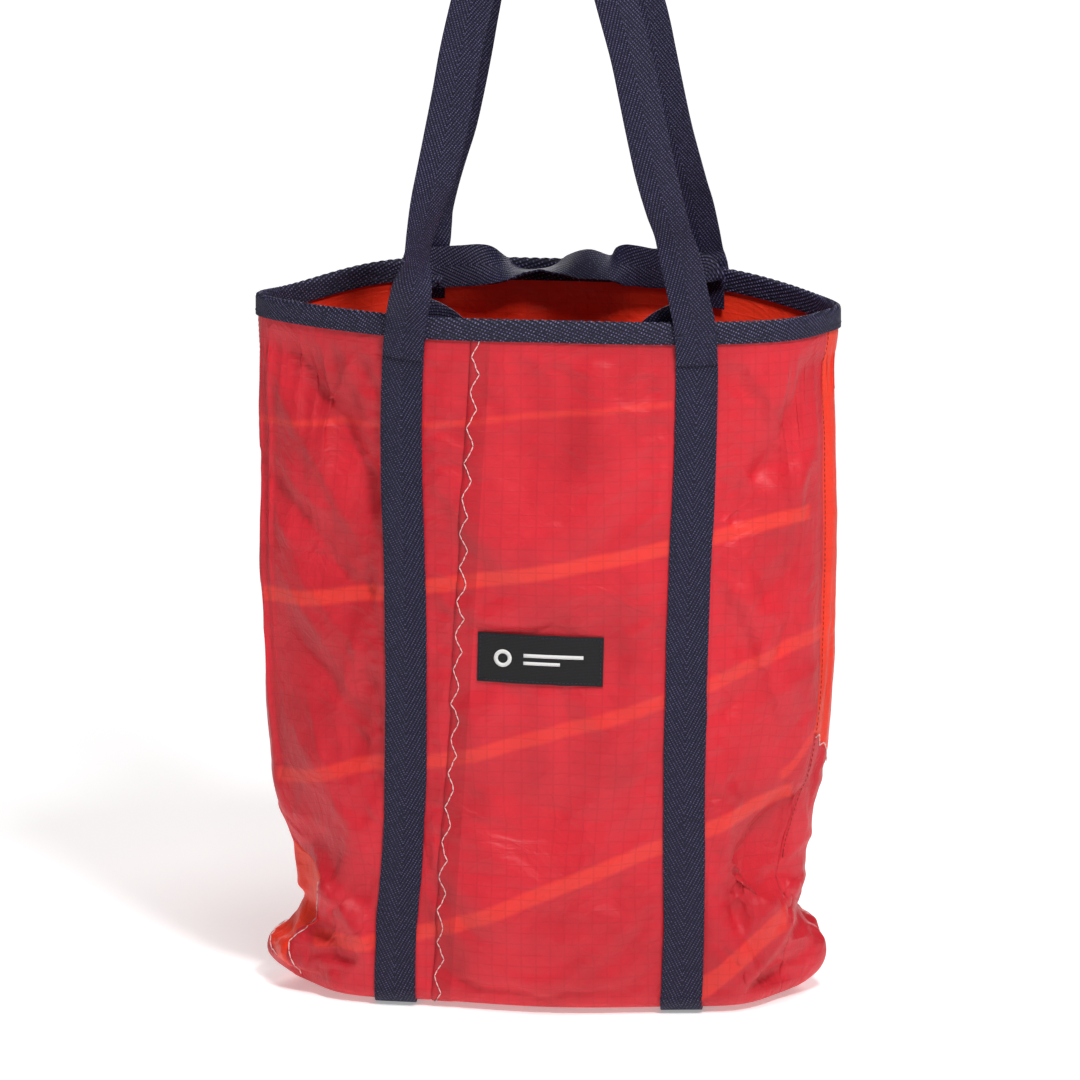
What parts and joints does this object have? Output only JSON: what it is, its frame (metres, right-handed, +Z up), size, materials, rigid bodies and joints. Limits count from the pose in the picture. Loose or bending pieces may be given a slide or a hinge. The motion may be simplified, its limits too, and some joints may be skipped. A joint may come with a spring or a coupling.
{
  "type": "foldable tote bag",
  "caption": "Soft open-topped tote of thin ripstop cloth with a webbing-bound mouth, sewn-down webbing straps, long and short webbing handles and a small woven label.",
  "frame": {"origin": "centre of the whole bag's footprint, on the plane that it stands on", "axes": "+Z up to the handles, -Y towards the front with the label, +X to the right seen from the front"},
  "size_m": [0.3534, 0.1354, 0.7239],
  "materials": {
    "ripstop_red": "thin crimson kite ripstop, slightly glossy, crinkled",
    "ripstop_orange": "thin orange-red kite ripstop, slightly glossy, crinkled",
    "webbing": "dark navy herringbone webbing, matt",
    "label": "black woven label with a pale woven mark",
    "pale_thread": "pale pink zigzag stitching",
    "dark_thread": "dark navy stitching"
  },
  "bodies": {
    "bag": {"front_panel_left": "ripstop_red", "front_panel_right": "ripstop_red", "back_panel_lower": "ripstop_red", "back_panel_upper": "ripstop_orange", "base_panel": "ripstop_red", "rim_binding": "webbing", "back_strap_left": "webbing", "back_strap_right": "webbing", "base_strap_left": "webbing", "base_strap_right": "webbing", "back_left_tack_upper": "dark_thread", "back_left_tack_lower": "dark_thread", "back_right_tack_upper": "dark_thread", "back_right_tack_lower": "dark_thread", "short_handle_back_tab_left": "webbing", "short_handle_back_tab_right": "webbing", "front_seam_thread": "pale_thread", "back_seam_thread": "pale_thread", "side_seam_thread_left": "dark_thread", "side_seam_thread_right": "dark_thread"},
    "front_straps": {"front_strap_left": "webbing", "front_strap_right": "webbing", "front_left_tack_upper": "dark_thread", "front_left_tack_lower": "dark_thread", "front_right_tack_upper": "dark_thread", "front_right_tack_lower": "dark_thread", "short_handle_front_tab_left": "webbing", "short_handle_front_tab_right": "webbing", "label": "label"},
    "long_handle_front": {"long_handle_front": "webbing"},
    "long_handle_back": {"long_handle_back": "webbing"},
    "short_handle_front": {"short_handle_front": "webbing"},
    "short_handle_back": {"short_handle_back": "webbing"}
  },
  "joints": [
    {"name": "flatten", "type": "slide", "parent": "bag", "child": "front_straps", "axis": [0, 1, 0], "range_m": [0, 0.07], "deforming": ["front_panel_left", "front_panel_right", "base_panel", "back_panel_lower", "back_panel_upper", "rim_binding", "base_strap_left", "base_strap_right", "front_seam_thread", "side_seam_thread_left", "side_seam_thread_right"]},
    {"name": "long_handle_front_swing", "type": "hinge", "parent": "front_straps", "child": "long_handle_front", "pos_m": [0.006, -0.05975, 0.4312], "axis": [1, 0, 0], "range_deg": [0, 160]},
    {"name": "long_handle_back_swing", "type": "hinge", "parent": "bag", "child": "long_handle_back", "pos_m": [0.006, 0.05975, 0.4312], "axis": [1, 0, 0], "range_deg": [-160, 0]},
    {"name": "short_handle_front_swing", "type": "hinge", "parent": "front_straps", "child": "short_handle_front", "pos_m": [0.006, -0.04088, 0.4312], "axis": [1, 0, 0], "range_deg": [0, 172]},
    {"name": "short_handle_back_swing", "type": "hinge", "parent": "bag", "child": "short_handle_back", "pos_m": [0.006, 0.0394, 0.4312], "axis": [1, 0, 0], "range_deg": [0, 170]}
  ]
}
